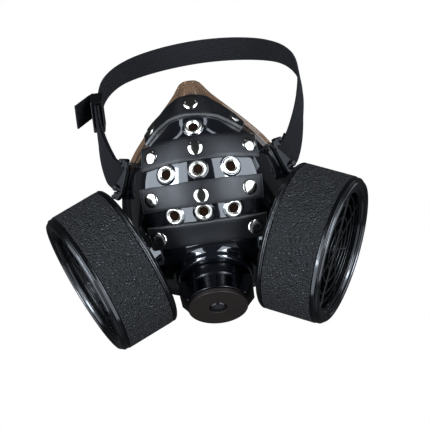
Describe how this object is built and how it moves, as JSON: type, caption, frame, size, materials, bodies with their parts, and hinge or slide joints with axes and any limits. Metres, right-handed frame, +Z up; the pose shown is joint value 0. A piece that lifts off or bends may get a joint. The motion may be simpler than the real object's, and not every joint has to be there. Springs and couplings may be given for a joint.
{
  "type": "gas mask style costume half mask",
  "caption": "Costume half mask like an old gas mask: riveted leather strips and eyelets on a moulded face shell, leather-wrapped side canisters, exhale valve and elastic head strap.",
  "frame": {"origin": "middle of the face opening, where the mask is seated on a face", "axes": "+Z up along the face, -Y to the front, +X to the wearer's left"},
  "size_m": [0.1828, 0.2443, 0.1927],
  "materials": {
    "smoked_shell": "gloss, thin rim shows smoky brown",
    "strip_leather": "smooth satin",
    "pebbled_leather": "pebble grain, satin",
    "nickel": "polished nickel",
    "gloss_black": "gloss",
    "dark_cap": "satin",
    "buckle_grey": "matte",
    "elastic": "ribbed elastic"
  },
  "bodies": {
    "root": {"face_shell": "smoked_shell", "nose_strip": "strip_leather", "upper_strip": "strip_leather", "middle_strip": "strip_leather", "lower_strip": "strip_leather", "rivet_nose_left": "nickel", "rivet_nose_middle": "nickel", "rivet_nose_right": "nickel", "rivet_upper_left": "nickel", "rivet_upper_middle": "nickel", "rivet_upper_right": "nickel", "rivet_middle_left": "nickel", "rivet_middle_middle": "nickel", "rivet_middle_right": "nickel", "rivet_lower_left": "nickel", "rivet_lower_right": "nickel", "eyelet_top": "nickel", "eyelet_upper_left": "nickel", "eyelet_upper_middle": "nickel", "eyelet_upper_right": "nickel", "eyelet_lower_left": "nickel", "eyelet_lower_middle": "nickel", "eyelet_lower_right": "nickel", "canister_left": "gloss_black", "leather_band_left": "pebbled_leather", "front_rim_left": "gloss_black", "grille_left": "gloss_black", "canister_right": "gloss_black", "leather_band_right": "pebbled_leather", "front_rim_right": "gloss_black", "grille_right": "gloss_black", "valve_cage": "gloss_black", "valve_cap": "dark_cap", "valve_button": "gloss_black", "buckle_left": "buckle_grey", "buckle_right": "buckle_grey", "head_strap": "elastic", "strap_slider": "gloss_black"}
  },
  "joints": []
}
